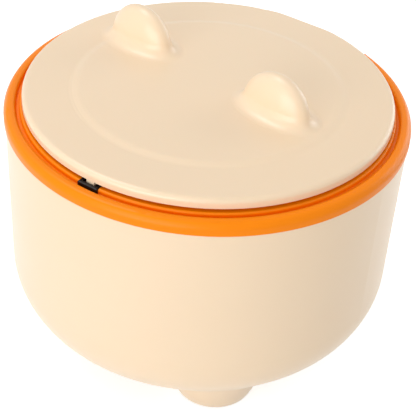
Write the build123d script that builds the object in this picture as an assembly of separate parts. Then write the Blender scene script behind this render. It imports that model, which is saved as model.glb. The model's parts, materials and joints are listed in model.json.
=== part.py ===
from build123d import *
import os
from math import asin, cos, degrees, radians, sin

# Litter disposal pail, in millimetres.
# Frame: +Z up, origin on the floor under the centre of the tub, -Y towards the latch,
# +Y towards the hinge.

# ---- driving dimensions -------------------------------------------------------------

# whole pail
RING_RADIUS = 85.0            # widest radius, at the collar's rolled lip
RING_HEIGHT = 113.5           # height of that widest circle above the floor

# fits
SLIP_FIT = 0.4                # radial play of the collar's skirt in the tub
RUNNING_FIT = 0.05            # radial play of the hinge pin in the lid's knuckles
SIDE_PLAY = 0.4               # play beside parts that swing or slide
SEAT_GAP = 0.3                # gap under parts that are held by a screw or a spring

# tub
TUB_WALL = 2.4
TUB_STEP = 0.6                # how far the collar's lip stands out past the tub
TUB_DRAFT = 0.8               # loss of radius from the rim down to the corner
TUB_CORNER_RADIUS = 30.0
TUB_UNDERSIDE = 11.3          # height of the tub's flat bottom above the floor
LIP_DROP = 3.4                # from the widest circle down to the tub's rim
RIM_ROUND = 0.6

# feet, moulded in one with the tub
FOOT_COUNT = 4
FOOT_INSET = 34.2             # from the tub's wall in to the middle of a foot's ball
FOOT_FIRST_ANGLE = -45.0
FOOT_BALL_RADIUS = 19.6
FOOT_BALL_HEIGHT = 10.4       # middle of the ball above the floor
FOOT_TOP_RADIUS = 17.4
FOOT_LENGTH = 21.0            # from the middle of the ball up into the tub
FOOT_LEAN = 25.0              # degrees that the foot leans outwards, going up
FOOT_FLOOR = 3.2              # thickness of plastic over the flat
FOOT_BLEND = 7.0

# foot pads
PAD_RADIUS = 9.0
PAD_THICKNESS = 1.8
PAD_PROUD = 0.6               # how far a pad stands out under its foot

# collar
LIP_TOP_RISE = 2.4            # lip's crest and sealing deck above the widest circle
LIP_WIDTH = 5.0
LIP_SLOPE = 1.6               # how far the lip's rolled top leans in
GROOVE_WIDTH = 1.6            # soft groove between the lip and the deck
GROOVE_DEPTH = 2.0
THROAT_INSET = 12.9           # from the deck's outer edge in to the throat
COLLAR_WALL = 1.8
THROAT_DEPTH = 22.0           # height of the throat wall under the deck
SKIRT_DEPTH = 12.0            # how far the skirt reaches into the tub
SEAL_LAND_DROP = 1.5          # seal's land under the deck's raised edge
SEAL_LAND_INSET = 4.2         # from the deck's outer edge in to the land

# lid
LID_SETBACK = 1.05            # from the deck's outer edge in to the lid's edge
LID_WALL = 2.0
LID_RIM_GAP = 1.4             # from the deck up to the lid's rim
LID_EDGE_HEIGHT = 4.1
LID_RISE = 1.8                # from the rim's top edge to the crown
LID_PANEL_INSET = 21.35       # from the lid's edge in to the raised middle panel
LID_PANEL_STEP = 0.8
LID_CHORD_CUT = 2.55          # how much the straight rear edge takes off the circle
LID_RIM_WIDTH = 2.6

# ears
EAR_INSET = 18.0              # from the edge of the lid's panel in to an ear's centre
EAR_OFFSET_X = -5.5
EAR_OFFSET_Y = 5.5
EAR_TURN = -7.0               # degrees that the pair is turned round the lid
EAR_HALF_WIDTH = 16.7
EAR_HALF_DEPTH = 7.4
EAR_HEIGHT = 17.6
EAR_LEAN = 5.0                # degrees outwards
EAR_SINK = 0.7                # middle of the ear under the crown
EAR_ROOT_BLEND = 6.0
EAR_WALL = 1.8

# inner lid and seal
LINER_EDGE = 0.95             # flange outside the seal's ribs
LINER_WALL = 1.4
LINER_DISH_GAP = 3.5          # from the throat's wall in to the dish
LINER_DISH_DEPTH = 5.2
SEAL_INSET = 1.9              # from the throat's wall out to the middle of the seal
SEAL_WIDTH = 2.4
SEAL_HEIGHT = 2.0
SEAL_RIB = 0.8
SEAL_SHOWS = 0.5              # part of the seal that stands out of its groove

# small screws
SCREW_RADIUS = 1.25
SCREW_HEAD_RADIUS = 2.3
SCREW_HEAD_HEIGHT = 1.3
LINER_SCREW_COUNT = 4
LINER_SCREW_INSET = 18.0      # from the dish's wall in to the screws
LINER_SCREW_LENGTH = 8.0
LINER_BOSS_RADIUS = 3.2

# hinge
HINGE_INSET = 0.5             # from the lid's straight edge in to the pin
HINGE_DROP = 0.3              # pin centre under the widest circle
PIN_RADIUS = 1.2
KNUCKLE_RADIUS = 3.0
KNUCKLE_WIDTH = 4.0
KNUCKLE_X = 15.2              # centre of a lid knuckle from the middle line
POCKET_HALF_WIDTH = 17.8
POCKET_WALL = 2.0
POCKET_FRONT_GAP = 4.7        # from the pin to the pocket's front wall
CENTRE_POST_WIDTH = 7.0
PIN_BITE = 1.5                # depth of the pin's ends in the pocket's walls
RELIEF_HALF_WIDTH = 31.5      # opening in the lip where the lid's rear edge swings
RELIEF_FLOOR = 1.6            # thickness of the lip under that opening

# torsion springs
TORSION_WIRE = 0.8
TORSION_COIL_RADIUS = 2.1
TORSION_TURNS = 6.5
TORSION_PITCH = 1.0
TORSION_START_X = 5.2
TORSION_LEG = 3.4

# latch
LATCH_HALF_WIDTH = 4.6
LATCH_WALL = 1.35
LATCH_REACH = 0.7             # how far the latch reaches out past the deck's edge
LATCH_DEPTH = 6.9
LATCH_TOP_RISE = 0.3          # latch frame above the deck
LATCH_BODY_HEIGHT = 20.0
LATCH_CAP_HEIGHT = 1.6
LATCH_EAR_REACH = 10.4
LATCH_EAR_THICKNESS = 2.0
LATCH_EAR_DEPTH = 9.0         # top of the ears under the deck
LATCH_SCREW_X = 7.8
LATCH_SCREW_LENGTH = 7.0
LATCH_TRAVEL = 1.5
LATCH_MOUTH_DEPTH = 2.6       # opening in the frame's inner wall, under the deck's height
JAW_THICKNESS = 1.0
JAW_HEIGHT = 6.0
SLIDER_HEIGHT = 7.0
TRACK_DEPTH = 0.9
TRACK_WIRE_RADIUS = 0.35
COIL_WIRE = 0.35
COIL_RADIUS = 1.7
COIL_TURNS = 5

# striker under the lid's front edge
STRIKER_SHOULDER_HALF_WIDTH = 1.8
STRIKER_SHOULDER_HEIGHT = 1.9
STRIKER_NECK_HALF_WIDTH = 1.2
STRIKER_HEAD_HALF_WIDTH = 1.8
STRIKER_THICKNESS = 2.0
STRIKER_LENGTH = 6.2
STRIKER_HEAD_HEIGHT = 1.8

# ---- heights and radii that follow from them ----------------------------------------

seat_z = RING_HEIGHT - LIP_DROP
deck_z = RING_HEIGHT + LIP_TOP_RISE
groove_z = deck_z - GROOVE_DEPTH
relief_z = seat_z + RELIEF_FLOOR
rim_z = deck_z + LID_RIM_GAP
edge_z = rim_z + LID_EDGE_HEIGHT
crown_z = edge_z + LID_RISE
tub_radius = RING_RADIUS - TUB_STEP
tub_base_radius = tub_radius - TUB_DRAFT
tub_bore = tub_radius - TUB_WALL
skirt_radius = tub_bore - SLIP_FIT
skirt_inner = skirt_radius - COLLAR_WALL
foot_circle = tub_base_radius - FOOT_INSET
lip_inner = RING_RADIUS - LIP_WIDTH
deck_outer = lip_inner - GROOVE_WIDTH
land_radius = deck_outer - SEAL_LAND_INSET
throat_radius = deck_outer - THROAT_INSET
lid_radius = deck_outer - LID_SETBACK
panel_radius = lid_radius - LID_PANEL_INSET
chord_y = lid_radius - LID_CHORD_CUT
ear_x = panel_radius - EAR_INSET
seal_radius = throat_radius + SEAL_INSET
seal_slot_inner = seal_radius - SEAL_WIDTH / 2 - RUNNING_FIT
seal_slot_outer = seal_radius + SEAL_WIDTH / 2 + RUNNING_FIT
liner_radius = seal_slot_outer + SEAL_RIB + LINER_EDGE
dish_radius = throat_radius - LINER_DISH_GAP
screw_circle = dish_radius - LINER_SCREW_INSET
hinge_y = chord_y - HINGE_INSET
pocket_front_y = hinge_y - POCKET_FRONT_GAP
latch_outer_y = -(deck_outer + LATCH_REACH)
latch_inner_y = latch_outer_y + LATCH_DEPTH
throat_foot_z = deck_z - THROAT_DEPTH
hinge_z = RING_HEIGHT - HINGE_DROP
pocket_floor_z = hinge_z - KNUCKLE_RADIUS - SIDE_PLAY
land_z = deck_z - SEAL_LAND_DROP
liner_flange_z = land_z + SEAL_HEIGHT
dish_z = liner_flange_z - LINER_DISH_DEPTH
latch_top_z = deck_z + LATCH_TOP_RISE
latch_foot_z = latch_top_z - LATCH_BODY_HEIGHT
latch_mid_y = (latch_inner_y + latch_outer_y) / 2
latch_ear_top_z = deck_z - LATCH_EAR_DEPTH
slider_top_z = deck_z - JAW_HEIGHT - SEAT_GAP
slider_foot_z = slider_top_z - SLIDER_HEIGHT


# ---- helpers -------------------------------------------------------------------------

def revolved(points, angle=360):
    """Solid of revolution about Z from (radius, height, corner radius) points."""
    outline = FilletPolyline(
        *[(r, z) for r, z, _ in points],
        radius=[fillet_radius for _, _, fillet_radius in points],
        close=True,
    )
    return revolve(Plane.XZ * make_face(outline), Axis.Z, angle)


def block(x, y, z):
    """Box between two x, two y and two z values."""
    size = (x[1] - x[0], y[1] - y[0], z[1] - z[0])
    centre = ((x[0] + x[1]) / 2, (y[0] + y[1]) / 2, (z[0] + z[1]) / 2)
    return Pos(*centre) * Box(*size)


def post(radius, z, x=0.0, y=0.0):
    """Upright cylinder between two heights."""
    return Pos(x, y, (z[0] + z[1]) / 2) * Cylinder(radius, z[1] - z[0])


def rod_x(radius, x, y, z):
    """Cylinder along X between two x values."""
    return Pos((x[0] + x[1]) / 2, y, z) * Rot(0, 90, 0) * Cylinder(radius, x[1] - x[0])


def screw(length, x, y, head_z):
    """Pan-head screw pointing up, with a cross recess, its head's seat at head_z."""
    shank_length = length - SCREW_RADIUS
    shank = Pos(0, 0, shank_length / 2) * Cylinder(SCREW_RADIUS, shank_length)
    tip = Pos(0, 0, shank_length) * Cone(SCREW_RADIUS, SCREW_RADIUS / 3, SCREW_RADIUS,
                                   align=(Align.CENTER, Align.CENTER, Align.MIN))
    head = Pos(0, 0, -SCREW_HEAD_HEIGHT / 2) * Cylinder(SCREW_HEAD_RADIUS, SCREW_HEAD_HEIGHT)
    head = fillet(head.edges().sort_by(Axis.Z)[0], SCREW_HEAD_HEIGHT * 0.45)
    slot = Box(SCREW_HEAD_RADIUS * 1.1, 0.5, SCREW_HEAD_HEIGHT)
    recess = Pos(0, 0, -SCREW_HEAD_HEIGHT) * (slot + Rot(0, 0, 90) * slot)
    return Pos(x, y, head_z) * (head + shank + tip - recess)


def around(count, first_angle=0.0):
    """Angles in degrees, evenly spaced."""
    return [first_angle + 360 / count * i for i in range(count)]


# ---- tub ------------------------------------------------------------------------------

def tub_form(inset):
    """The tub's cup, taken in by inset all round."""
    corner = TUB_CORNER_RADIUS - inset
    return revolved([
        (0, TUB_UNDERSIDE + inset, 0),
        (tub_base_radius - inset, TUB_UNDERSIDE + inset, corner),
        (tub_radius - inset, seat_z, 0),
        (0, seat_z, 0),
    ])


def foot_form(inset):
    """A ball that runs into a leaning stem, taken in by inset, its origin in the ball."""
    taper = degrees(asin((FOOT_BALL_RADIUS - FOOT_TOP_RADIUS) / FOOT_LENGTH))
    ball = CenterArc((0, 0), FOOT_BALL_RADIUS - inset, 270, 90 + taper)
    top_radius = (FOOT_TOP_RADIUS - inset) * cos(radians(taper))
    stem = Polyline(ball @ 1, (top_radius, FOOT_LENGTH), (0, FOOT_LENGTH), ball @ 0)
    form = revolve(Plane.XZ * make_face(ball + stem), Axis.Z)
    return Pos(0, 0, FOOT_BALL_HEIGHT) * Rot(0, FOOT_LEAN, 0) * form


def at_feet(angle):
    """Location on the foot circle, with X pointing outwards."""
    return Rot(0, 0, angle) * Pos(foot_circle, 0, 0)


def make_tub():
    angles = around(FOOT_COUNT, FOOT_FIRST_ANGLE)
    cup = tub_form(0)
    feet = [at_feet(angle) * foot_form(0) for angle in angles]
    outer = cup + feet
    outer = fillet(new_edges(cup, *feet, combined=outer), FOOT_BLEND)
    outer -= block((-RING_RADIUS, RING_RADIUS), (-RING_RADIUS, RING_RADIUS), (-RING_RADIUS, PAD_PROUD))
    outer = fillet(outer.edges().group_by(Axis.Z)[0], PAD_PROUD)
    tub = outer - tub_form(TUB_WALL)
    above_foot_floor = block(
        (-RING_RADIUS, RING_RADIUS), (-RING_RADIUS, RING_RADIUS), (PAD_PROUD + FOOT_FLOOR, seat_z)
    )
    for angle in angles:
        tub -= (at_feet(angle) * foot_form(TUB_WALL)) & above_foot_floor
        tub -= at_feet(angle) * post(PAD_RADIUS + SEAT_GAP / 2, (0, PAD_THICKNESS))
    rim_edges = tub.edges().group_by(Axis.Z)[-1]
    return fillet(rim_edges, RIM_ROUND)


def make_foot_pad(angle):
    pad = post(PAD_RADIUS, (0, PAD_THICKNESS))
    pad = fillet(pad.edges().sort_by(Axis.Z)[0], PAD_PROUD * 0.6)
    return at_feet(angle) * pad


# ---- collar ---------------------------------------------------------------------------

def collar_ring():
    """Rolled lip, groove beside the lid, sealing deck, throat and skirt in one section."""
    under_deck_z = land_z - COLLAR_WALL
    return revolved([
        (RING_RADIUS, seat_z, 0.5),
        (RING_RADIUS, RING_HEIGHT, 3.0),
        (RING_RADIUS - LIP_SLOPE, deck_z, 2.4),
        (lip_inner, deck_z, 1.3),
        (lip_inner, groove_z, 0.4),
        (deck_outer, groove_z, 0.4),
        (deck_outer, deck_z, 0.9),
        (land_radius, deck_z, 0.5),
        (land_radius, land_z, 0.4),
        (throat_radius, land_z, 1.2),
        (throat_radius, throat_foot_z, 0.5),
        (throat_radius + COLLAR_WALL, throat_foot_z, 0.5),
        (throat_radius + COLLAR_WALL, under_deck_z, 0.8),
        (deck_outer - COLLAR_WALL, under_deck_z, 0.8),
        (deck_outer - COLLAR_WALL, seat_z, 0),
        (skirt_inner, seat_z, 0),
        (skirt_inner, seat_z - SKIRT_DEPTH, 0.5),
        (skirt_radius, seat_z - SKIRT_DEPTH, 0.5),
        (skirt_radius, seat_z, 0),
    ])


def under_groove(form):
    """Keeps a form inside the skirt, and inside the riser where it passes the groove."""
    low = post(skirt_inner + COLLAR_WALL / 2, (throat_foot_z, relief_z - RELIEF_FLOOR / 2))
    high = post(deck_outer - COLLAR_WALL / 2, (throat_foot_z, land_z - COLLAR_WALL / 2))
    return form & (low + high)


def pocket_block():
    """Walls and floor of the hinge pocket under the lid's rear edge."""
    half = POCKET_HALF_WIDTH + POCKET_WALL
    depth = (pocket_front_y - POCKET_WALL, RING_RADIUS)
    return under_groove(block((-half, half), depth, (pocket_floor_z - POCKET_WALL, land_z)))


def pocket_hollow():
    """Space for the knuckles, with a shallower middle where the springs rest."""
    half = POCKET_HALF_WIDTH
    depth = (pocket_front_y, RING_RADIUS)
    shelf = KNUCKLE_X - KNUCKLE_WIDTH / 2 - SIDE_PLAY
    shelf_z = hinge_z - TORSION_COIL_RADIUS - TORSION_WIRE / 2 - RUNNING_FIT
    hollow = block((-half, half), depth, (pocket_floor_z, crown_z))
    hollow -= block((-shelf, shelf), depth, (pocket_floor_z, shelf_z))
    return hollow & post(lip_inner - GROOVE_WIDTH / 4, (pocket_floor_z, crown_z))


def lip_relief():
    """Opening in the lip behind the hinge, where the lid's rear edge swings down."""
    half = RELIEF_HALF_WIDTH
    opening = block((-half, half), (0, RING_RADIUS + 1), (relief_z, crown_z))
    corners = opening.edges().filter_by(Axis.Y).group_by(Axis.Z)[0]
    opening = fillet(corners, LIP_DROP / 2)
    return opening - post(lip_inner - GROOVE_WIDTH / 2, (relief_z, crown_z))


def centre_knuckle():
    """Upright in the middle of the pocket that holds the hinge pin."""
    half = CENTRE_POST_WIDTH / 2
    depth = (hinge_y - KNUCKLE_RADIUS, hinge_y + KNUCKLE_RADIUS)
    upright = block((-half, half), depth, (pocket_floor_z - POCKET_WALL / 2, hinge_z))
    return upright + rod_x(KNUCKLE_RADIUS, (-half, half), hinge_y, hinge_z)


def latch_block():
    """Solid round the latch's slot, with pilot holes for its two screws."""
    half = LATCH_EAR_REACH + SIDE_PLAY
    depth = (-RING_RADIUS, latch_inner_y + COLLAR_WALL)
    return under_groove(block((-half, half), depth, (latch_ear_top_z, land_z)))


def latch_slot():
    half = LATCH_HALF_WIDTH + RUNNING_FIT
    depth = (latch_outer_y - RUNNING_FIT, latch_inner_y + RUNNING_FIT)
    return block((-half, half), depth, (latch_foot_z, crown_z))


def latch_screw_holes(radius, z):
    left = post(radius, z, -LATCH_SCREW_X, latch_mid_y)
    return left + post(radius, z, LATCH_SCREW_X, latch_mid_y)


def make_collar():
    pin_reach = POCKET_HALF_WIDTH + PIN_BITE
    collar = collar_ring() + pocket_block() + latch_block()
    collar -= pocket_hollow()
    collar -= lip_relief()
    collar += centre_knuckle()
    collar -= rod_x(PIN_RADIUS + RUNNING_FIT, (-pin_reach, pin_reach), hinge_y, hinge_z)
    collar -= latch_slot()
    pilot_top_z = latch_ear_top_z + LATCH_SCREW_LENGTH
    collar -= latch_screw_holes(SCREW_RADIUS + RUNNING_FIT, (latch_ear_top_z, pilot_top_z))
    return collar


# ---- lid ------------------------------------------------------------------------------

def lid_form(radius, drop, edge_round):
    """Domed cover with a raised middle panel, its top lowered by drop."""
    panel_z = crown_z - LID_RISE * 0.4 - drop
    step_in = panel_radius - 2 * LID_PANEL_STEP
    step_out = panel_radius + 2 * LID_PANEL_STEP
    top_z = crown_z - drop
    bend_r = step_in / 2
    bend_z = top_z - (top_z - panel_z) / 4
    dome = ThreePointArc((0, top_z), (bend_r, bend_z), (step_in, panel_z))
    flank = Polyline(
        (step_in, panel_z),
        (step_out, panel_z - LID_PANEL_STEP),
        (radius, edge_z - drop),
        (radius, rim_z),
        (0, rim_z),
        (0, top_z),
    )
    section = make_face(dome + flank)
    for r, z, size in (
        (step_in, panel_z, 6),
        (step_out, panel_z - LID_PANEL_STEP, 6),
        (radius, edge_z - drop, edge_round),
    ):
        corner = section.vertices().sort_by_distance((r, z, 0))[0]
        section = fillet(corner, size)
    return revolve(Plane.XZ * section, Axis.Z)


def behind(y):
    return block((-RING_RADIUS, RING_RADIUS), (y, RING_RADIUS + 5), (0, 2 * RING_HEIGHT))


def ear_frames():
    """Seats of the two ears on the lid, each with X pointing away from the other ear."""
    root_z = crown_z - EAR_SINK
    pair = Pos(EAR_OFFSET_X, EAR_OFFSET_Y, root_z) * Rot(0, 0, EAR_TURN)
    right = pair * Pos(ear_x, 0, 0) * Rot(0, EAR_LEAN, 0)
    left = pair * Pos(-ear_x, 0, 0) * Rot(0, -EAR_LEAN, 0)
    return [right, left]


def ear_form(inset):
    """Upright lens, half of which stands out of the lid."""
    by = (EAR_HALF_WIDTH - inset, EAR_HALF_DEPTH - inset, EAR_HEIGHT - inset)
    return scale(Sphere(1), by=by)


def hinge_arms():
    """Two arms with knuckles that carry the lid on the hinge pin."""
    arms = Part()
    for side in (-1, 1):
        x = (side * KNUCKLE_X - KNUCKLE_WIDTH / 2, side * KNUCKLE_X + KNUCKLE_WIDTH / 2)
        arms += block(x, (hinge_y - KNUCKLE_RADIUS, hinge_y), (hinge_z, rim_z + LID_WALL / 2))
        arms += rod_x(KNUCKLE_RADIUS, x, hinge_y, hinge_z)
    reach = KNUCKLE_X + KNUCKLE_WIDTH
    return arms - rod_x(PIN_RADIUS + RUNNING_FIT, (-reach, reach), hinge_y, hinge_z)


def spring_feet():
    """Feet under the lid's rear wall that rest on the springs' upper legs."""
    foot_z = hinge_z + TORSION_COIL_RADIUS + TORSION_WIRE / 2 + RUNNING_FIT
    leg_x = TORSION_START_X + TORSION_PITCH * TORSION_TURNS
    feet = Part()
    for side in (-1, 1):
        x = (side * leg_x - TORSION_WIRE, side * leg_x + TORSION_WIRE)
        y = (hinge_y - TORSION_LEG, chord_y - LID_RIM_WIDTH / 2)
        feet += block(x, y, (foot_z, rim_z + LID_WALL / 2))
    return feet


def striker():
    """Tab that reaches down into the latch, with an arrow-shaped head."""
    back_y = -lid_radius + 0.2
    foot_z = rim_z - STRIKER_LENGTH
    shoulder_z = rim_z - STRIKER_SHOULDER_HEIGHT
    neck_taper = STRIKER_SHOULDER_HALF_WIDTH - STRIKER_NECK_HALF_WIDTH
    right_side = [
        (STRIKER_NECK_HALF_WIDTH, foot_z),
        (STRIKER_HEAD_HALF_WIDTH, foot_z + STRIKER_HEAD_HEIGHT / 2),
        (STRIKER_NECK_HALF_WIDTH, foot_z + STRIKER_HEAD_HEIGHT),
        (STRIKER_NECK_HALF_WIDTH, shoulder_z - neck_taper),
        (STRIKER_SHOULDER_HALF_WIDTH, shoulder_z),
        (STRIKER_SHOULDER_HALF_WIDTH, rim_z + LID_WALL / 2),
    ]
    left_side = [(-x, z) for x, z in reversed(right_side)]
    outline = Polyline(*right_side, *left_side, close=True)
    front = Plane(origin=(0, back_y, 0), x_dir=(1, 0, 0), z_dir=(0, -1, 0))
    return extrude(front * make_face(outline), -STRIKER_THICKNESS)


def liner_bosses():
    bosses = Part()
    foot_z = dish_z + LINER_WALL
    for angle in around(LINER_SCREW_COUNT, 45):
        place = Rot(0, 0, angle) * Pos(screw_circle, 0, 0)
        boss = post(LINER_BOSS_RADIUS, (foot_z, crown_z - LID_RISE * 0.4 - LID_WALL / 2))
        pilot = post(SCREW_RADIUS + RUNNING_FIT, (foot_z, dish_z + LINER_SCREW_LENGTH + SEAT_GAP))
        bosses += place * (boss - pilot)
    return bosses


def make_lid():
    dome = lid_form(lid_radius, 0, LID_EDGE_HEIGHT / 2)
    ears = [frame * ear_form(0) for frame in ear_frames()]
    cover = dome + ears
    ear_roots = new_edges(dome, *ears, combined=cover).filter_by_position(Axis.Z, edge_z, 2 * crown_z)
    cover = fillet(ear_roots, EAR_ROOT_BLEND)
    cover -= post(lid_radius, (0, rim_z))
    cover -= behind(chord_y)
    hollow = lid_form(lid_radius - LID_RIM_WIDTH, LID_WALL, LID_WALL / 10)
    hollow -= behind(chord_y - LID_RIM_WIDTH)
    for frame in ear_frames():
        hollow += (frame * ear_form(EAR_WALL)) & post(lid_radius, (rim_z, 2 * crown_z))
    cover -= hollow
    return cover + hinge_arms() + spring_feet() + striker() + liner_bosses()


# ---- inner lid and seal ---------------------------------------------------------------

def make_liner():
    flange_top_z = liner_flange_z + LINER_WALL
    rib_foot_z = land_z + SEAL_SHOWS
    inner = dish_radius - LINER_WALL
    liner = revolved([
        (0, dish_z, 0),
        (dish_radius, dish_z, 2.0),
        (dish_radius, liner_flange_z, 0.4),
        (seal_slot_inner - SEAL_RIB, liner_flange_z, 0.1),
        (seal_slot_inner - SEAL_RIB, rib_foot_z, 0.2),
        (seal_slot_inner, rib_foot_z, 0.2),
        (seal_slot_inner, liner_flange_z, 0),
        (seal_slot_outer, liner_flange_z, 0),
        (seal_slot_outer, rib_foot_z, 0.2),
        (seal_slot_outer + SEAL_RIB, rib_foot_z, 0.2),
        (seal_slot_outer + SEAL_RIB, liner_flange_z, 0.1),
        (liner_radius, liner_flange_z, 0.3),
        (liner_radius, flange_top_z, 0.3),
        (inner, flange_top_z, 0.4),
        (inner, dish_z + LINER_WALL, 0.8),
        (0, dish_z + LINER_WALL, 0),
    ])
    for angle in around(LINER_SCREW_COUNT, 45):
        hole = post(SCREW_RADIUS + SLIP_FIT / 2, (dish_z, flange_top_z))
        liner -= Rot(0, 0, angle) * Pos(screw_circle, 0, 0) * hole
    return liner


def make_seal():
    half = SEAL_WIDTH / 2
    return revolved([
        (seal_radius - half, land_z, 0.6),
        (seal_radius + half, land_z, 0.6),
        (seal_radius + half, liner_flange_z, 0),
        (seal_radius - half, liner_flange_z, 0),
    ])


def make_liner_screws():
    screws = []
    for angle in around(LINER_SCREW_COUNT, 45):
        x = screw_circle * cos(radians(angle))
        y = screw_circle * sin(radians(angle))
        screws.append(screw(LINER_SCREW_LENGTH, x, y, dish_z))
    return Compound(children=screws)


# ---- hinge pin and torsion springs ----------------------------------------------------

def make_hinge_pin():
    half = POCKET_HALF_WIDTH + PIN_BITE - RUNNING_FIT
    pin = rod_x(PIN_RADIUS, (-half, half), hinge_y, hinge_z)
    return chamfer(pin.edges().filter_by(GeomType.CIRCLE), 0.3)


def wound_coil(radius, wire, pitch, turns, leg=0.0):
    """Helical coil about Z, starting on +X at height zero, with straight ends of leg length."""
    helix = Helix(pitch, pitch * turns, radius)
    pieces = [helix.edge()]
    if leg > 0:
        lead = Line(helix @ 0 - (helix % 0) * leg, helix @ 0)
        tail = Line(helix @ 1, helix @ 1 + (helix % 1) * leg)
        pieces = [lead.edge(), *pieces, tail.edge()]
    path = Wire(pieces)
    section = Plane(origin=path @ 0, z_dir=path % 0) * Circle(wire / 2)
    return sweep(section, path=path, is_frenet=True)


def make_torsion_spring(side):
    """Coil on the hinge pin with one leg on the pocket's floor and one under the lid."""
    coil = wound_coil(
        TORSION_COIL_RADIUS, TORSION_WIRE, TORSION_PITCH, TORSION_TURNS, TORSION_LEG
    )
    spring = Pos(TORSION_START_X, hinge_y, hinge_z) * Rot(0, 90, 0) * coil
    if side < 0:
        spring = mirror(spring, Plane.YZ)
    return spring


# ---- latch ----------------------------------------------------------------------------

def latch_cavity(play=0.0):
    """Plan of the slider's guide: half width, outer y and inner y."""
    return (
        LATCH_HALF_WIDTH - LATCH_WALL - play,
        latch_outer_y + LATCH_WALL + play,
        latch_inner_y - LATCH_WALL - play,
    )


def make_latch_housing():
    half, outer_y, inner_y = latch_cavity()
    body = block(
        (-LATCH_HALF_WIDTH, LATCH_HALF_WIDTH), (latch_outer_y, latch_inner_y),
        (latch_foot_z, latch_top_z),
    )
    body = fillet(body.edges().group_by(Axis.Z)[-1], LATCH_WALL * 0.3)
    ears = block(
        (-LATCH_EAR_REACH, LATCH_EAR_REACH), (latch_outer_y + 1.2, latch_inner_y - 0.6),
        (latch_ear_top_z - LATCH_EAR_THICKNESS, latch_ear_top_z),
    )
    ears = fillet(ears.edges().filter_by(Axis.Z), 1.2)
    housing = body + ears
    housing -= block((-half, half), (outer_y, inner_y), (latch_foot_z, latch_top_z))
    mouth = STRIKER_HEAD_HALF_WIDTH
    housing -= block((-mouth, mouth), (inner_y, latch_inner_y), (deck_z - LATCH_MOUTH_DEPTH, latch_top_z))
    ear_z = (latch_ear_top_z - LATCH_EAR_THICKNESS, latch_ear_top_z)
    housing -= latch_screw_holes(SCREW_RADIUS + SLIP_FIT / 2, ear_z)
    wire_half = TRACK_WIRE_RADIUS + RUNNING_FIT
    housing -= block((-wire_half, wire_half), (inner_y, track_wire_y() + wire_half), track_wire_z())
    return housing - track_wire_seat()


def track_wire_y():
    """Middle of the track wire's long leg, sunk in the housing's inner wall."""
    return latch_inner_y - LATCH_WALL + TRACK_WIRE_RADIUS + RUNNING_FIT


def track_wire_z():
    """Lower end and upper end of the channel for the track wire."""
    return (latch_foot_z + LATCH_CAP_HEIGHT + 0.5, slider_top_z - LATCH_TRAVEL - 0.4)


def track_wire_seat():
    low_z = track_wire_z()[0] + TRACK_WIRE_RADIUS + RUNNING_FIT
    hole = Cylinder(TRACK_WIRE_RADIUS + RUNNING_FIT, 2 * LATCH_WALL)
    return Pos(0, latch_inner_y, low_z) * Rot(90, 0, 0) * hole


def make_track_wire():
    """Wire follower: one end turns in the housing, the other rides in the slider's track."""
    y = track_wire_y()
    low_z = track_wire_z()[0] + TRACK_WIRE_RADIUS + RUNNING_FIT
    high_z = track_wire_z()[1] - TRACK_WIRE_RADIUS - RUNNING_FIT
    tip_y = latch_cavity(RUNNING_FIT * 3)[2] - TRACK_DEPTH * 0.8
    path = FilletPolyline(
        (0, latch_inner_y - 0.2, low_z), (0, y, low_z), (0, y, high_z), (0, tip_y, high_z),
        radius=TRACK_WIRE_RADIUS * 1.3,
    )
    section = Plane(origin=path @ 0, z_dir=path % 0) * Circle(TRACK_WIRE_RADIUS)
    return sweep(section, path=path)


def make_latch_cap():
    """Bottom plate of the latch, with a plug and a spigot for the spring."""
    half, outer_y, inner_y = latch_cavity(RUNNING_FIT)
    plate = block(
        (-LATCH_HALF_WIDTH, LATCH_HALF_WIDTH), (latch_outer_y, latch_inner_y),
        (latch_foot_z - LATCH_CAP_HEIGHT, latch_foot_z),
    )
    plug = block((-half, half), (outer_y, inner_y), (latch_foot_z, latch_foot_z + LATCH_CAP_HEIGHT / 2))
    spigot_radius = COIL_RADIUS - COIL_WIRE
    spigot = post(spigot_radius, (latch_foot_z, latch_foot_z + LATCH_CAP_HEIGHT), 0, latch_mid_y)
    return plate + plug + spigot


def make_latch_slider():
    """Sliding block with two jaws and a heart-shaped track on its inner face."""
    half, outer_y, inner_y = latch_cavity(RUNNING_FIT * 3)
    body = block((-half, half), (outer_y, inner_y), (slider_foot_z, slider_top_z))
    jaw_in = STRIKER_HEAD_HALF_WIDTH + RUNNING_FIT * 2
    for side in (-1, 1):
        x = sorted((side * jaw_in, side * (jaw_in + JAW_THICKNESS)))
        jaw = block(x, (outer_y, inner_y), (slider_top_z, slider_top_z + JAW_HEIGHT))
        lead_edges = jaw.edges().filter_by(Axis.Y).group_by(Axis.Z)[-1]
        body += chamfer(lead_edges, JAW_THICKNESS * 0.3)
    track_half = TRACK_WIRE_RADIUS * 4
    track_top_z = slider_top_z - SLIDER_HEIGHT * 0.05
    track_foot_z = slider_foot_z + SLIDER_HEIGHT * 0.1
    track = block((-track_half, track_half), (inner_y - TRACK_DEPTH, inner_y), (track_foot_z, track_top_z))
    heart_z = slider_foot_z + SLIDER_HEIGHT * 0.3
    heart = Polyline(
        (0, heart_z - 0.9), (0.7, heart_z), (0.4, heart_z + 0.7), (0, heart_z + 0.4),
        (-0.4, heart_z + 0.7), (-0.7, heart_z), close=True,
    )
    face = Plane(origin=(0, inner_y, 0), x_dir=(1, 0, 0), z_dir=(0, -1, 0))
    island = extrude(face * make_face(heart), TRACK_DEPTH)
    return body - (track - island)


def make_latch_spring():
    """Compression coil between the cap and the slider."""
    foot_z = latch_foot_z + LATCH_CAP_HEIGHT / 2
    length = slider_foot_z - foot_z
    pitch = (length - COIL_WIRE) / COIL_TURNS
    coil = wound_coil(COIL_RADIUS, COIL_WIRE, pitch, COIL_TURNS)
    return Pos(0, latch_mid_y, foot_z + COIL_WIRE / 2) * coil


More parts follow.
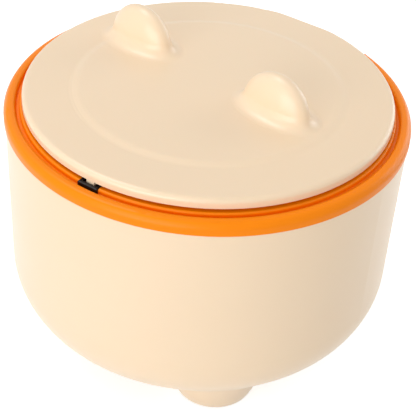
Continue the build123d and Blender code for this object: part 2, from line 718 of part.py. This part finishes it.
def make_latch_screws():
    foot_z = latch_ear_top_z - LATCH_EAR_THICKNESS
    length = LATCH_SCREW_LENGTH
    left = screw(length, -LATCH_SCREW_X, latch_mid_y, foot_z)
    right = screw(length, LATCH_SCREW_X, latch_mid_y, foot_z)
    return Compound(children=[left, right])


# ---- write every piece ----------------------------------------------------------------

def build_parts():
    names = ("front_right", "rear_right", "rear_left", "front_left")
    parts = {"tub": make_tub()}
    for name, angle in zip(names, around(FOOT_COUNT, FOOT_FIRST_ANGLE)):
        parts["foot_pad_" + name] = make_foot_pad(angle)
    parts["collar"] = make_collar()
    parts["lid"] = make_lid()
    parts["lid_liner"] = make_liner()
    parts["lid_seal"] = make_seal()
    parts["liner_screws"] = make_liner_screws()
    parts["hinge_pin"] = make_hinge_pin()
    parts["hinge_spring_left"] = make_torsion_spring(-1)
    parts["hinge_spring_right"] = make_torsion_spring(1)
    parts["latch_housing"] = make_latch_housing()
    parts["latch_cap"] = make_latch_cap()
    parts["latch_slider"] = make_latch_slider()
    parts["latch_spring"] = make_latch_spring()
    parts["latch_track_wire"] = make_track_wire()
    parts["latch_screws"] = make_latch_screws()
    return parts


if __name__ == "__main__":
    os.makedirs("parts", exist_ok=True)
    for name, shape in build_parts().items():
        export_step(shape, f"parts/{name}.step")
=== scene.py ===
"""Litter disposal pail, dressed for rendering and laid out as an add-on.

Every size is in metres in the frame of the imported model: +Z up, -Y towards the latch,
+Y towards the hinge.
"""

import json
import math

import bpy
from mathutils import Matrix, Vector

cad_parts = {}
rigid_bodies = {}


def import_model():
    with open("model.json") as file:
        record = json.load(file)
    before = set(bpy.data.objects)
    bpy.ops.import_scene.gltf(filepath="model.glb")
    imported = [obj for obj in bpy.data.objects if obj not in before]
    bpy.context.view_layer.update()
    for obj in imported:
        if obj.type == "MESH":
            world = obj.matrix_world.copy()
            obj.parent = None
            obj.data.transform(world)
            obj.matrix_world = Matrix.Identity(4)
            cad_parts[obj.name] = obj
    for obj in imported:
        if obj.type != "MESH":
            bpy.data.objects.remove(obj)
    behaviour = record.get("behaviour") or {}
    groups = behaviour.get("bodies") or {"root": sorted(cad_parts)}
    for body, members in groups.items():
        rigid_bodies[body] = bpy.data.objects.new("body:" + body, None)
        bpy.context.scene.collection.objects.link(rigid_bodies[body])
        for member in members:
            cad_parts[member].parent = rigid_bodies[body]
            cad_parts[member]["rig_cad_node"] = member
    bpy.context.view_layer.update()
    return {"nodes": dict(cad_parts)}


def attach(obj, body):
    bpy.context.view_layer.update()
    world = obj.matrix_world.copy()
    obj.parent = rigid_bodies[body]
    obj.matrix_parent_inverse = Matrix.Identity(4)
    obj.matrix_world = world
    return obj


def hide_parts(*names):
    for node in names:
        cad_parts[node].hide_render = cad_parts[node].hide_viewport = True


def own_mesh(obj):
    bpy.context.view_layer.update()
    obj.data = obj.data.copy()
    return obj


bl_info = {
    "name": "Litter Disposal Pail",
    "version": (1, 0, 0),
    "blender": (4, 5, 0),
    "location": "View3D > Sidebar > Pail",
    "description": "Builds the visible surfaces of a push-latch litter pail round its packed frame",
    "category": "Object",
}

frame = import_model()
MM = 0.001
WHITE = (1.0, 1.0, 1.0, 1.0)

SMOOTH_ANGLE = math.radians(40)
MERGE_DISTANCE = 0.001 * MM

# share of a noise or cell pattern's values that is spread over the roughness range
PATTERN_LOW, PATTERN_HIGH = 0.3, 0.7
CLOUD_MM = {"plastic": 40, "rubber": 6, "metal": 3}
HANDLED_MM = 25    # size of the patches where a surface has been handled
ROUGHNESS_SPREAD = {"plastic": 0.02, "rubber": 0.05, "metal": 0.08}
RELIEF_STRENGTH = {"plastic": 0.12, "rubber": 0.5, "metal": 0.3}
RUBBER_SHADE, METAL_SHADE = 0.04, 0.05
STREAK_DEPTH_MM = 0.01
PLASTIC_IOR, RUBBER_IOR = 1.54, 1.41

# gate mark, as shares of its radius or of its height
MARK_SIDES = 48
MARK_SUNK = 2          # heights that reach up into the plastic
MARK_RIM = 0.25        # of the radius
MARK_DISH = 0.8        # of the height
MARK_STUB_SPAN = 0.65  # of the radius, from which the stub's radius is taken off
MARK_STUB = 0.7        # of the height
MARK_BEVEL = 0.2       # of the height
DOWNWARD = -0.9        # normals below this face the floor

FLOOR_SIZE = 6.0
FLOOR_GAP = 0.1 * MM    # keeps the floor's surface apart from the undersides of the pads
CARD_GREY = 0.7
CARD_LIFT = 0.65
LAMPS = {    # place and width
    "key": ((-0.40, -0.20, 1.00), 0.45),
    "fill": ((0.12, -1.15, 0.22), 0.9),
    "back": ((0.45, 1.10, 0.30), 0.9),
}
LAMP_AIM = Vector((0, 0, 0.07))
CAMERA_SPOT = (0.23712, -0.35961, 0.38655)
CAMERA_TURN_DEG = (52.8177, -3.0603, 35.3701)


# ---- colours -------------------------------------------------------------------------

def linear(hex_colour):
    """Linear RGB of an sRGB hex colour."""
    channels = [int(hex_colour[i:i + 2], 16) / 255 for i in (0, 2, 4)]
    return [c / 12.92 if c <= 0.04045 else ((c + 0.055) / 1.055) ** 2.4 for c in channels]


def rgba(colour):
    return (*colour, 1.0)


# ---- settings a user would change ----------------------------------------------------

def colour_setting(name, description, hex_colour):
    return bpy.props.FloatVectorProperty(
        name=name, description=description, subtype="COLOR", size=3, min=0, max=1,
        default=linear(hex_colour))


class PailColours(bpy.types.PropertyGroup):
    cream: colour_setting("Cream", "Moulded plastic of tub and lid", "F6DDBD")
    orange: colour_setting("Orange", "Moulded plastic of the collar", "FF8B00")
    black: colour_setting("Black", "Acetal of the latch", "0B0707")
    white: colour_setting("White", "Polypropylene of the inner lid", "EFE9DD")
    seal: colour_setting("Seal", "Silicone of the ring in the inner lid", "D9D4C8")
    pad: colour_setting("Pads", "Rubber under the feet", "4A4744")
    steel: colour_setting("Steel", "Drawn pin and spring wire", "B4B4B8")
    zinc: colour_setting("Zinc", "Plating of the screws", "C3C6CC")


class GateMarks(bpy.types.PropertyGroup):
    radius: bpy.props.FloatProperty(
        name="Radius", description="Radius of the round mark where the plastic entered the mould",
        default=3.0 * MM, min=0, subtype="DISTANCE", unit="LENGTH")
    stub_radius: bpy.props.FloatProperty(
        name="Stub radius", description="Radius of the cut-off stub in the middle of a mark",
        default=0.9 * MM, min=0, subtype="DISTANCE", unit="LENGTH")
    height: bpy.props.FloatProperty(
        name="Height", description="How far a mark's rim stands out of the surface",
        default=0.35 * MM, min=0, subtype="DISTANCE", unit="LENGTH")


class StageSettings(bpy.types.PropertyGroup):
    lens: bpy.props.FloatProperty(
        name="Lens", description="Focal length of the camera in millimetres", default=104.885)
    sky: bpy.props.FloatProperty(
        name="Sky", description="Strength of the white surroundings", default=0.53, min=0)
    key: bpy.props.FloatProperty(
        name="Key", description="Power of the large upper lamp in watts", default=3.1, min=0)
    fill: bpy.props.FloatProperty(
        name="Fill", description="Power of the low front lamp in watts", default=9.2, min=0)
    back: bpy.props.FloatProperty(
        name="Back", description="Power of the lamp behind the pail in watts", default=5.5, min=0)


# ---- materials -----------------------------------------------------------------------

def add_node(tree, kind, settings=None, values=None, links=None):
    """Adds one node with its settings, its socket values and its incoming links."""
    node = tree.nodes.new(kind)
    for name, value in (settings or {}).items():
        setattr(node, name, value)
    for name, value in (values or {}).items():
        node.inputs[name].default_value = value
    for name, source in (links or {}).items():
        tree.links.new(source, node.inputs[name])
    return node


def new_material(name):
    material = bpy.data.materials.new(name)
    material.use_nodes = True
    material.node_tree.nodes.clear()
    return material, material.node_tree


def finish_skin(tree, kind, colour, pattern, roughness, height, depth_mm, skin_values):
    """Joins colour, roughness and relief to the surface shader of one material."""
    spread = ROUGHNESS_SPREAD[kind]
    rough = add_node(tree, "ShaderNodeMapRange", links={"Value": pattern}, values={
        "From Min": PATTERN_LOW, "From Max": PATTERN_HIGH,
        "To Min": roughness - spread, "To Max": roughness + spread})
    bump = add_node(tree, "ShaderNodeBump", links={"Height": height},
                    values={"Strength": RELIEF_STRENGTH[kind], "Distance": depth_mm * MM})
    skin = add_node(tree, "ShaderNodeBsdfPrincipled", values=skin_values, links={
        "Base Color": colour, "Roughness": rough.outputs["Result"],
        "Normal": bump.outputs["Normal"]})
    add_node(tree, "ShaderNodeOutputMaterial", links={"Surface": skin.outputs["BSDF"]})


def cloudy(tree, place, size_mm, colour, shade):
    """Colour that drifts to a slightly deeper tone in patches of the given size."""
    clouds = add_node(tree, "ShaderNodeTexNoise", links={"Vector": place},
                      values={"Scale": 1 / (size_mm * MM), "Detail": 3.0, "Roughness": 0.5})
    deeper = [c * (1 - shade * (1 + i)) for i, c in enumerate(colour)]
    tint = add_node(tree, "ShaderNodeMix", settings={"data_type": "RGBA"},
                    values={"A": rgba(deeper), "B": rgba(colour)},
                    links={"Factor": clouds.outputs["Fac"]})
    return tint.outputs["Result"]


def moulded_plastic(name, colour, roughness, grain_mm, grain_depth_mm, shade, skin_values):
    """Injection-moulded plastic: even colour, faint flow clouds and the mould's fine grain."""
    material, tree = new_material(name)
    place = add_node(tree, "ShaderNodeTexCoord").outputs["Object"]
    tint = cloudy(tree, place, CLOUD_MM["plastic"], colour, shade)
    grain = add_node(tree, "ShaderNodeTexNoise", links={"Vector": place},
                     values={"Scale": 1 / (grain_mm * MM), "Detail": 2.0, "Roughness": 0.6})
    handled = add_node(tree, "ShaderNodeTexNoise", links={"Vector": place},
                       values={"Scale": 1 / (HANDLED_MM * MM), "Detail": 1.0, "Roughness": 0.4})
    finish_skin(tree, "plastic", tint, handled.outputs["Fac"], roughness,
                grain.outputs["Fac"], grain_depth_mm, {"IOR": PLASTIC_IOR, **skin_values})
    return material


def soft_rubber(name, colour, roughness, pore_mm, pore_depth_mm, skin_values):
    """Moulded rubber or silicone: dull, with small pores and a dusty bloom in patches."""
    material, tree = new_material(name)
    place = add_node(tree, "ShaderNodeTexCoord").outputs["Object"]
    tint = cloudy(tree, place, CLOUD_MM["rubber"], colour, RUBBER_SHADE)
    pores = add_node(tree, "ShaderNodeTexVoronoi", links={"Vector": place},
                     values={"Scale": 1 / (pore_mm * MM)})
    finish_skin(tree, "rubber", tint, pores.outputs["Distance"], roughness,
                pores.outputs["Distance"], pore_depth_mm, {"IOR": RUBBER_IOR, **skin_values})
    return material


def drawn_metal(name, colour, roughness, streak_mm, across):
    """Drawn or plated metal: fine streaks left by the die, stretched along the piece."""
    material, tree = new_material(name)
    place = add_node(tree, "ShaderNodeTexCoord").outputs["Object"]
    along = add_node(tree, "ShaderNodeMapping", links={"Vector": place},
                     values={"Scale": across})
    streaks = add_node(tree, "ShaderNodeTexNoise", links={"Vector": along.outputs["Vector"]},
                       values={"Scale": 1 / (streak_mm * MM), "Detail": 3.0, "Roughness": 0.6})
    tint = cloudy(tree, place, CLOUD_MM["metal"], colour, METAL_SHADE)
    finish_skin(tree, "metal", tint, streaks.outputs["Fac"], roughness,
                streaks.outputs["Fac"], STREAK_DEPTH_MM, {"Metallic": 1.0})
    return material


def cream_abs(colours):
    # ABS from a polished mould: pale, softly glossy, a trace of light under the skin
    return moulded_plastic("cream_moulded_abs", colours.cream, 0.30, 0.45, 0.012, 0.012, {
        "Specular IOR Level": 0.42, "Subsurface Weight": 0.06, "Subsurface Scale": 2 * MM,
        "Subsurface Radius": (1.0, 0.6, 0.35)})


def orange_abs(colours):
    # strongly pigmented ABS: the colour stays deep because little white light lies on it
    return moulded_plastic("orange_moulded_abs", colours.orange, 0.34, 0.45, 0.012, 0.01, {
        "Specular IOR Level": 0.16})


def black_acetal(colours):
    # acetal from an eroded mould: near black with a waxy, matt sheen
    return moulded_plastic("black_moulded_acetal", colours.black, 0.42, 0.3, 0.02, 0.02, {
        "Specular IOR Level": 0.35})


def white_polypropylene(colours):
    # polypropylene: milky white, slightly translucent at its thin walls
    return moulded_plastic(
        "white_moulded_polypropylene", colours.white, 0.36, 0.6, 0.015, 0.01, {
        "Specular IOR Level": 0.4, "Subsurface Weight": 0.12, "Subsurface Scale": 3 * MM,
        "Subsurface Radius": (1.0, 0.9, 0.8)})


def seal_silicone(colours):
    # cast silicone: soft, greyish white and nearly dull
    return soft_rubber("cast_silicone", colours.seal, 0.55, 0.5, 0.01, {
        "Subsurface Weight": 0.15, "Subsurface Scale": 1.5 * MM,
        "Subsurface Radius": (1.0, 0.9, 0.8)})


def pad_rubber(colours):
    # pressed rubber: dark grey, matt and grippy
    return soft_rubber("pressed_rubber", colours.pad, 0.8, 0.4, 0.03, {"Specular IOR Level": 0.3})


def pin_steel(colours):
    # drawn steel rod: bright, with streaks along the pin
    return drawn_metal("drawn_steel", colours.steel, 0.28, 0.25, (0.05, 1.0, 1.0))


def wire_steel(colours):
    # bright spring wire: glossy, with short die marks
    return drawn_metal("bright_spring_wire", colours.steel, 0.24, 0.2, (1.0, 1.0, 1.0))


def screw_zinc(colours):
    # zinc plating: cool grey with a soft frost of crystals
    return drawn_metal("zinc_plating", colours.zinc, 0.34, 0.3, (1.0, 1.0, 1.0))


FINISHES = {
    cream_abs: ("tub", "lid"),
    orange_abs: ("collar",),
    white_polypropylene: ("lid_liner",),
    seal_silicone: ("lid_seal",),
    pad_rubber: ("foot_pad_front_right", "foot_pad_rear_right", "foot_pad_rear_left",
                 "foot_pad_front_left"),
    black_acetal: ("latch_housing", "latch_cap", "latch_slider"),
    pin_steel: ("hinge_pin",),
    wire_steel: ("hinge_spring_left", "hinge_spring_right", "latch_spring", "latch_track_wire"),
    screw_zinc: ("liner_screws", "latch_screws"),
}


def dress(obj, material):
    obj.data.materials.clear()
    obj.data.materials.append(material)


# ---- operators -----------------------------------------------------------------------

class PAIL_OT_finishes(bpy.types.Operator):
    """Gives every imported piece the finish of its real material"""

    bl_idname = "pail.finishes"
    bl_label = "Finishes of the packed pieces"

    def execute(self, context):
        for finish, names in FINISHES.items():
            material = finish(context.scene.pail_colours)
            for name in names:
                dress(frame["nodes"][name], material)
        return {"FINISHED"}


def pick_faces(obj, wanted):
    """Goes into edit mode with only the wanted faces selected."""
    bpy.ops.object.mode_set(mode="EDIT")
    bpy.ops.mesh.select_mode(type="FACE")
    bpy.ops.mesh.select_all(action="DESELECT")
    bpy.ops.object.mode_set(mode="OBJECT")
    for face in obj.data.polygons:
        face.select = wanted(face)
    bpy.ops.object.mode_set(mode="EDIT")


def sink_middle(rim_width, depth):
    """Insets the picked end face and pushes its middle in, with a soft shoulder."""
    bpy.ops.mesh.inset(thickness=rim_width)
    bpy.ops.mesh.extrude_region_move(TRANSFORM_OT_translate={"value": (0, 0, depth)})
    bpy.ops.mesh.inset(thickness=rim_width / 3)


def underside(node):
    """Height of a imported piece's lowest surface on the middle axis."""
    return frame["nodes"][node].ray_cast(Vector((0, 0, 0)), Vector((0, 0, 1)))[1].z


def model_gate_mark(name, underside_z, sizes):
    """Round mark under a moulded piece: a low rim, a shallow dish and a cut-off stub."""
    sunk = MARK_SUNK * sizes.height
    bpy.ops.object.select_all(action="DESELECT")
    bpy.ops.mesh.primitive_cylinder_add(
        vertices=MARK_SIDES, radius=sizes.radius, depth=sizes.height + sunk,
        location=(0, 0, underside_z + (sunk - sizes.height) / 2))
    mark = bpy.context.object
    mark.name = name
    bpy.ops.object.transform_apply(location=True)
    pick_faces(mark, lambda face: face.normal.z < DOWNWARD)
    sink_middle(sizes.radius * MARK_RIM, sizes.height * MARK_DISH)
    bpy.ops.mesh.inset(thickness=sizes.radius * MARK_STUB_SPAN - sizes.stub_radius)
    bpy.ops.mesh.extrude_region_move(
        TRANSFORM_OT_translate={"value": (0, 0, -sizes.height * MARK_STUB)})
    bpy.ops.object.mode_set(mode="OBJECT")
    soften = mark.modifiers.new("soften", "BEVEL")
    soften.width = sizes.height * MARK_BEVEL
    soften.segments = 2
    soften.limit_method = "ANGLE"
    bpy.ops.object.modifier_apply(modifier=soften.name)
    bpy.ops.object.shade_smooth_by_angle(angle=SMOOTH_ANGLE)
    return mark


class PAIL_OT_gate_marks(bpy.types.Operator):
    """Adds the round marks that the mould leaves under the tub and under the inner lid"""

    bl_idname = "pail.gate_marks"
    bl_label = "Gate marks"

    def execute(self, context):
        for name, node, body in (
            ("tub_gate_mark", "tub", "pail"),
            ("inner_lid_gate_mark", "lid_liner", "cover"),
        ):
            mark = model_gate_mark(name, underside(node), context.scene.pail_gate_marks)
            dress(mark, frame["nodes"][node].data.materials[0])
            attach(mark, body)
        return {"FINISHED"}


class PAIL_OT_latch_coil(bpy.types.Operator):
    """Puts in a smooth copy of the latch spring in place of the imported one"""

    bl_idname = "pail.latch_coil"
    bl_label = "Latch spring"

    def execute(self, context):
        packed = frame["nodes"]["latch_spring"]
        bpy.ops.object.select_all(action="DESELECT")
        packed.select_set(True)
        context.view_layer.objects.active = packed
        bpy.ops.object.duplicate()
        coil = context.object
        coil.name = "latch_coil"
        del coil["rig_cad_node"]
        bpy.ops.object.mode_set(mode="EDIT")
        bpy.ops.mesh.select_all(action="SELECT")
        bpy.ops.mesh.remove_doubles(threshold=MERGE_DISTANCE)
        bpy.ops.object.mode_set(mode="OBJECT")
        bpy.ops.object.shade_smooth_by_angle(angle=SMOOTH_ANGLE)
        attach(coil, "ring")
        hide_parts("latch_spring")
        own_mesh(coil)
        return {"FINISHED"}


def shown_directly(tree):
    """One for rays that come straight from the eye, a mirror image or clear plastic, else zero."""
    rays = add_node(tree, "ShaderNodeLightPath")
    seen = add_node(tree, "ShaderNodeMath", settings={"operation": "MAXIMUM"})
    tree.links.new(rays.outputs["Is Camera Ray"], seen.inputs[0])
    tree.links.new(rays.outputs["Is Glossy Ray"], seen.inputs[1])
    either = add_node(tree, "ShaderNodeMath", settings={"operation": "MAXIMUM"})
    tree.links.new(seen.outputs[0], either.inputs[0])
    tree.links.new(rays.outputs["Is Transmission Ray"], either.inputs[1])
    return either.outputs[0]


def white_floor():
    # matt white card: it lifts to plain white where it is lit, and keeps a soft shadow
    material, tree = new_material("matt_white_card")
    card = add_node(tree, "ShaderNodeBsdfDiffuse", values={"Color": rgba((CARD_GREY,) * 3)})
    lift = add_node(tree, "ShaderNodeEmission", values={"Strength": CARD_LIFT})
    lifted = add_node(tree, "ShaderNodeAddShader")
    tree.links.new(card.outputs[0], lifted.inputs[0])
    tree.links.new(lift.outputs[0], lifted.inputs[1])
    chosen = add_node(tree, "ShaderNodeMixShader", links={"Fac": shown_directly(tree)})
    tree.links.new(card.outputs[0], chosen.inputs[1])
    tree.links.new(lifted.outputs[0], chosen.inputs[2])
    add_node(tree, "ShaderNodeOutputMaterial", links={"Surface": chosen.outputs[0]})
    return material


def white_world(strength):
    world = bpy.data.worlds.new("studio")
    world.use_nodes = True
    tree = world.node_tree
    tree.nodes.clear()
    light, white = [
        add_node(tree, "ShaderNodeBackground", values={"Color": WHITE, "Strength": level})
        for level in (strength, 1.0)]
    chosen = add_node(tree, "ShaderNodeMixShader", links={"Fac": shown_directly(tree)})
    tree.links.new(light.outputs[0], chosen.inputs[1])
    tree.links.new(white.outputs[0], chosen.inputs[2])
    add_node(tree, "ShaderNodeOutputWorld", links={"Surface": chosen.outputs[0]})
    return world


class PAIL_OT_stage(bpy.types.Operator):
    """Adds the floor, the lamps, the white surroundings and the camera"""

    bl_idname = "pail.stage"
    bl_label = "Stage"

    def execute(self, context):
        settings = context.scene.pail_stage
        bpy.ops.object.select_all(action="DESELECT")
        bpy.ops.mesh.primitive_plane_add(size=FLOOR_SIZE, location=(0, 0, -FLOOR_GAP))
        floor = context.object
        floor.name = "floor"
        bpy.ops.object.transform_apply(location=True)
        dress(floor, white_floor())
        context.scene.world = white_world(settings.sky)

        for name, (spot, size) in LAMPS.items():
            bpy.ops.object.light_add(type="AREA", location=spot)
            lamp = context.object
            lamp.name = name
            lamp.data.size = size
            lamp.data.energy = getattr(settings, name)
            towards = LAMP_AIM - Vector(spot)
            lamp.rotation_euler = towards.to_track_quat("-Z", "Y").to_euler()

        bpy.ops.object.camera_add(location=CAMERA_SPOT)
        camera = context.object
        camera.rotation_euler = [math.radians(a) for a in CAMERA_TURN_DEG]
        camera.data.lens = settings.lens
        context.scene.camera = camera
        context.scene.view_settings.view_transform = "Standard"
        return {"FINISHED"}


class PAIL_PT_panel(bpy.types.Panel):
    """Lists the pail's pieces and settings"""

    bl_label = "Litter pail"
    bl_space_type = "VIEW_3D"
    bl_region_type = "UI"
    bl_category = "Pail"

    def draw(self, context):
        for operator in OPERATORS:
            self.layout.operator(operator.bl_idname)
        for group_name, group in GROUPS.items():
            for name in group.__annotations__:
                self.layout.prop(getattr(context.scene, group_name), name)


GROUPS = {"pail_colours": PailColours, "pail_gate_marks": GateMarks, "pail_stage": StageSettings}
OPERATORS = (PAIL_OT_finishes, PAIL_OT_gate_marks, PAIL_OT_latch_coil, PAIL_OT_stage)
CLASSES = (*GROUPS.values(), *OPERATORS, PAIL_PT_panel)


def register():
    for cls in CLASSES:
        bpy.utils.register_class(cls)
    for name, group in GROUPS.items():
        setattr(bpy.types.Scene, name, bpy.props.PointerProperty(type=group))


def unregister():
    for name in GROUPS:
        delattr(bpy.types.Scene, name)
    for cls in reversed(CLASSES):
        bpy.utils.unregister_class(cls)


def main():
    register()
    bpy.ops.pail.finishes()
    bpy.ops.pail.gate_marks()
    bpy.ops.pail.latch_coil()
    bpy.ops.pail.stage()


if __name__ == "__main__":
    main()
